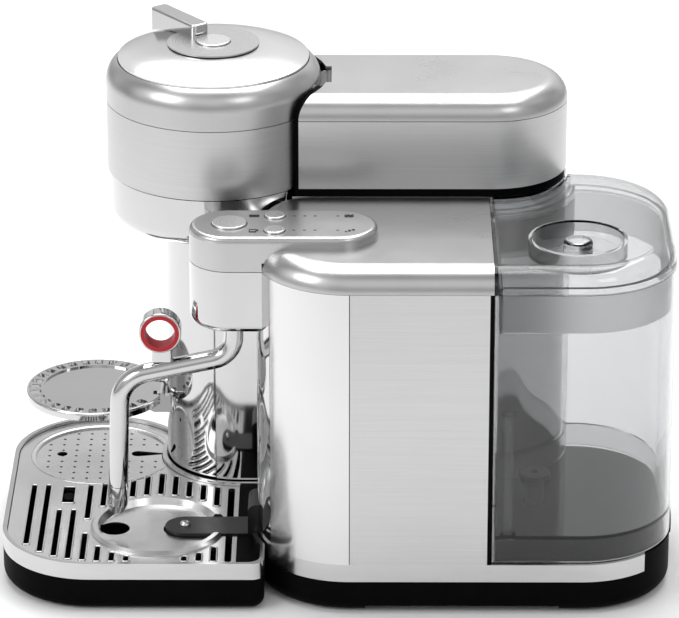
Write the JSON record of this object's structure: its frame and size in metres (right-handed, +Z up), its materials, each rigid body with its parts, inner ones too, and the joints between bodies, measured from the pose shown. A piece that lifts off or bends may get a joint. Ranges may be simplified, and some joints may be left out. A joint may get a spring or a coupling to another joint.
{
  "type": "pod coffee machine",
  "caption": "Stainless pod coffee machine with a round opening brew head, steam wand with ring handle, fold-up cup support, drip tray and clear rear tank.",
  "frame": {"origin": "middle of the footprint, on the table", "axes": "+Z up, -Y is the front with the drip tray, the steam side is +X, the brew side is -X"},
  "size_m": [0.246, 0.43, 0.3276],
  "materials": {
    "black_plastic": "satin moulded black",
    "rubber": "matt black rubber",
    "bright_steel": "polished stainless",
    "brushed_steel": "brushed stainless, fine straight grain",
    "satin_silver": "satin silver",
    "polished_chrome": "mirror polished",
    "clear_plastic": "clear plastic",
    "red_silicone": "red silicone",
    "light_lens": "frosted indicator lens",
    "grey_plastic": "dark grey moulding",
    "steel": "plain steel",
    "cast_aluminium": "cast",
    "belt_rubber": "toothed belt rubber",
    "hose": "silicone hose",
    "board": "circuit board"
  },
  "bodies": {
    "machine_body": {"base_chassis": "black_plastic", "rubber_feet": "rubber", "power_inlet": "rubber", "base_trim": "bright_steel", "side_panel": "brushed_steel", "corner_cover": "satin_silver", "front_cover": "polished_chrome", "back_housing": "black_plastic", "top_cover": "satin_silver", "column_housing": "polished_chrome", "column_deck": "black_plastic", "drive_motor": "steel", "arm_gasket": "black_plastic", "arm_panel": "brushed_steel", "arm_cover": "satin_silver", "arm_hinge": "steel", "head_cowl": "polished_chrome", "coffee_spout": "polished_chrome", "drive_belt": "belt_rubber", "steam_head_shell": "polished_chrome", "steam_head_cover": "satin_silver", "control_panel": "satin_silver", "panel_lights": "light_lens", "wand_socket": "black_plastic", "sensor_arm": "black_plastic", "water_pump": "steel", "water_heaters": "cast_aluminium", "circuit_board": "board", "water_hoses": "hose"},
    "brew_head": {"head_band": "brushed_steel", "head_shoulder": "satin_silver", "head_lid": "polished_chrome", "head_frame": "grey_plastic", "clamp_plate": "grey_plastic"},
    "lock_lever": {"lever_hub": "satin_silver", "lock_lever": "polished_chrome"},
    "brew_button": {"brew_button": "polished_chrome"},
    "steam_button": {"steam_button": "polished_chrome"},
    "texture_button": {"texture_button": "polished_chrome"},
    "temperature_button": {"temperature_button": "polished_chrome"},
    "steam_wand": {"steam_wand": "polished_chrome", "wand_tip": "polished_chrome", "handle_ring": "polished_chrome", "ring_liner": "red_silicone"},
    "capsule_container": {"container_front": "polished_chrome", "capsule_bucket": "black_plastic", "stand_bracket": "polished_chrome"},
    "cup_support": {"cup_stand": "polished_chrome"},
    "drip_tray": {"drip_tray": "black_plastic", "tray_rim": "bright_steel"},
    "tray_grid": {"tray_grid": "bright_steel", "steam_disc": "bright_steel"},
    "tray_float": {"tray_float": "black_plastic"},
    "jug_sensor": {"jug_sensor": "polished_chrome"},
    "capsule_spinner": {"capsule_holder": "grey_plastic", "holder_pulley": "black_plastic"},
    "motor_rotor": {"motor_pulley": "steel"},
    "water_tank": {"water_tank": "clear_plastic", "tank_valve": "grey_plastic"},
    "tank_lid": {"tank_lid": "clear_plastic"}
  },
  "joints": [
    {"name": "head_open", "type": "hinge", "parent": "machine_body", "child": "brew_head", "pos_m": [-0.054, -0.004, 0.293], "axis": [-1, 0, 0], "range_deg": [0, 38]},
    {"name": "lever_turn", "type": "hinge", "parent": "brew_head", "child": "lock_lever", "pos_m": [-0.054, -0.0787, 0.3188], "axis": [0, 0, 1], "range_deg": [0, 50]},
    {"name": "brew_press", "type": "slide", "parent": "brew_head", "child": "brew_button", "axis": [0, 0, -1], "range_m": [0, 0.0015], "stiffness_N_per_m": 500, "springref_m": -0.0005},
    {"name": "steam_press", "type": "slide", "parent": "machine_body", "child": "steam_button", "axis": [0, 0, -1], "range_m": [0, 0.001], "stiffness_N_per_m": 500, "springref_m": -0.0005},
    {"name": "texture_press", "type": "slide", "parent": "machine_body", "child": "texture_button", "axis": [0, 0, -1], "range_m": [0, 0.001], "stiffness_N_per_m": 400, "springref_m": -0.0005},
    {"name": "temperature_press", "type": "slide", "parent": "machine_body", "child": "temperature_button", "axis": [0, 0, -1], "range_m": [0, 0.001], "stiffness_N_per_m": 400, "springref_m": -0.0005},
    {"name": "wand_tilt", "type": "hinge", "parent": "machine_body", "child": "steam_wand", "pos_m": [0.0605, -0.064, 0.184], "axis": [-1, 0, 0], "range_deg": [0, 30]},
    {"name": "container_slide", "type": "slide", "parent": "machine_body", "child": "capsule_container", "axis": [0, -1, 0], "range_m": [0, 0.12]},
    {"name": "stand_fold", "type": "hinge", "parent": "capsule_container", "child": "cup_support", "pos_m": [-0.051, -0.1157, 0.078], "axis": [-1, 0, 0], "range_deg": [0, 85]},
    {"name": "tray_slide", "type": "slide", "parent": "machine_body", "child": "drip_tray", "axis": [0, -1, 0], "range_m": [0, 0.14]},
    {"name": "grid_lift", "type": "slide", "parent": "drip_tray", "child": "tray_grid", "axis": [0, 0, 1], "range_m": [0, 0.008]},
    {"name": "float_rise", "type": "slide", "parent": "drip_tray", "child": "tray_float", "axis": [0, 0, 1], "range_m": [0, 0.006]},
    {"name": "sensor_press", "type": "slide", "parent": "machine_body", "child": "jug_sensor", "axis": [0, 0, -1], "range_m": [0, 0.002], "stiffness_N_per_m": 300, "springref_m": -0.001},
    {"name": "capsule_spin", "type": "hinge", "parent": "machine_body", "child": "capsule_spinner", "pos_m": [-0.054, -0.0787, 0.2], "axis": [0, 0, 1], "continuous": true},
    {"name": "motor_spin", "type": "hinge", "parent": "machine_body", "child": "motor_rotor", "pos_m": [-0.054, 0.022, 0.19], "axis": [0, 0, 1], "continuous": true},
    {"name": "tank_lift", "type": "slide", "parent": "machine_body", "child": "water_tank", "axis": [0, 0, 1], "range_m": [0, 0.12]},
    {"name": "tank_lid_lift", "type": "slide", "parent": "water_tank", "child": "tank_lid", "axis": [0, 0, 1], "range_m": [0, 0.06]}
  ],
  "couplings": [
    {"joint": "motor_spin", "follows": "capsule_spin", "ratio": 2.6667}
  ]
}
